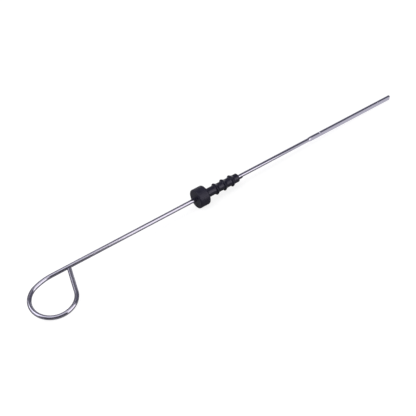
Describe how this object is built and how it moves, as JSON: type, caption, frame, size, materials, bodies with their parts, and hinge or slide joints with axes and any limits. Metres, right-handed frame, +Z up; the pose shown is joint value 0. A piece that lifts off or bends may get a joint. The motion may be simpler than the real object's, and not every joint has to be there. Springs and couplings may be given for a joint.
{
  "type": "engine oil dipstick",
  "caption": "Oil level stick of bent steel wire: a finger loop at one end, a flat gauge blade at the other, and a rubber seal with barbed fins for the tube's mouth.",
  "frame": {"origin": "middle of the part's outline seen from above, on the surface it lies on", "axes": "+X along the stick towards the blade's tip, +Z up; the loop leans down towards -Y, as the part comes to rest"},
  "size_m": [0.3995, 0.0456, 0.0177],
  "materials": {
    "steel_wire": "bright drawn, with fine marks along its length",
    "seal_rubber": "moulded black, half matt"
  },
  "bodies": {
    "root": {"wire": "steel_wire", "seal": "seal_rubber"}
  },
  "joints": []
}
